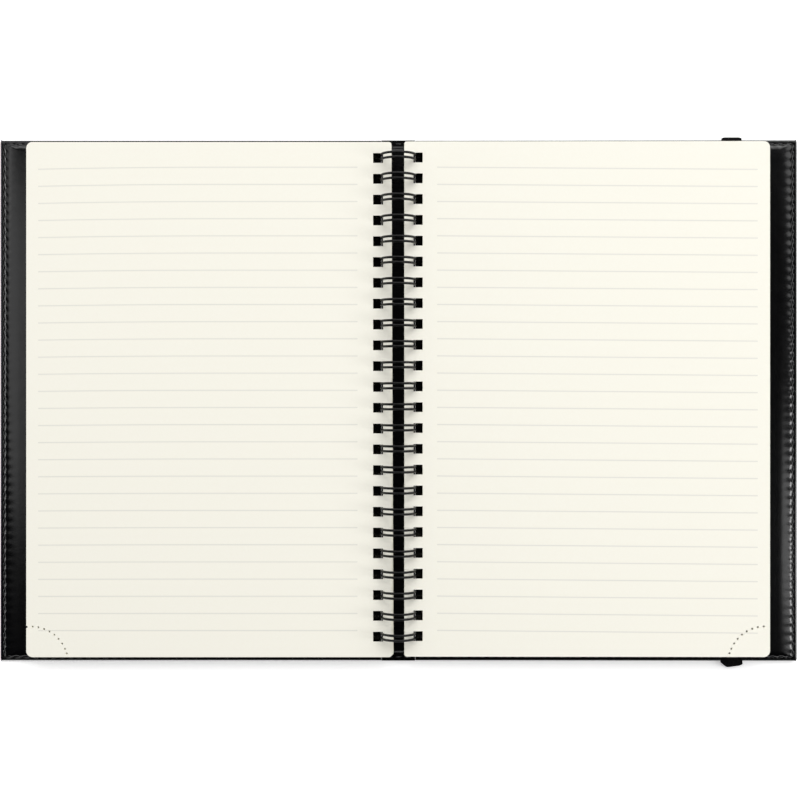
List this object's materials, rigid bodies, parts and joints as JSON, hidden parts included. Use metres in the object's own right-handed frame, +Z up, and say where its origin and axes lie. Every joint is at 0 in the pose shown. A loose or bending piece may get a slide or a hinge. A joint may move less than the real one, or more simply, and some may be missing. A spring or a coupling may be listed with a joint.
{
  "type": "open wire-bound notebook",
  "caption": "A5 notebook lying open on its back, bound with a twin-loop wire in a stitched leatherette cover with an elastic band.",
  "frame": {"origin": "on the table, in the middle of the spine and of the cover's height", "axes": "+X across the two pages to the right, +Y up the page to its head, +Z up from the table"},
  "size_m": [0.3276, 0.217, 0.0156],
  "materials": {
    "leatherette": "black leatherette with a fine pebble grain",
    "lining": "black leatherette lining, satin",
    "coated_wire": "semi-gloss black nylon-coated steel",
    "thread": "black polyester sewing thread",
    "board": "grey board, inside the cover",
    "elastic": "woven black elastic",
    "paper": "matt cream writing paper"
  },
  "bodies": {
    "spine": {"spine_skin": "leatherette", "spine_lining": "lining", "wire_binding": "coated_wire", "spine_stitching": "thread"},
    "front_cover": {"front_skin": "leatherette", "front_board": "board", "front_lining": "lining", "front_stitching": "thread"},
    "back_cover": {"back_skin": "leatherette", "back_board": "board", "back_lining": "lining", "back_stitching": "thread", "elastic_band": "elastic"},
    "left_pages": {"left_pages": "paper"},
    "right_pages": {"right_pages": "paper"}
  },
  "joints": [
    {"name": "front_cover_hinge", "type": "hinge", "parent": "spine", "child": "front_cover", "pos_m": [-0.0062, 0, 0.0027], "axis": [0, 1, 0], "range_deg": [0, 90]},
    {"name": "back_cover_hinge", "type": "hinge", "parent": "spine", "child": "back_cover", "pos_m": [0.0062, 0, 0.0027], "axis": [0, -1, 0], "range_deg": [0, 89.6]},
    {"name": "left_pages_turn", "type": "hinge", "parent": "spine", "child": "left_pages", "pos_m": [0, 0, 0.00825], "axis": [0, 1, 0], "range_deg": [0, 90]},
    {"name": "right_pages_turn", "type": "hinge", "parent": "spine", "child": "right_pages", "pos_m": [0, 0, 0.00825], "axis": [0, -1, 0], "range_deg": [0, 89.6]}
  ],
  "couplings": [
    {"joint": "left_pages_turn", "follows": "front_cover_hinge", "ratio": 1},
    {"joint": "right_pages_turn", "follows": "back_cover_hinge", "ratio": 1}
  ]
}
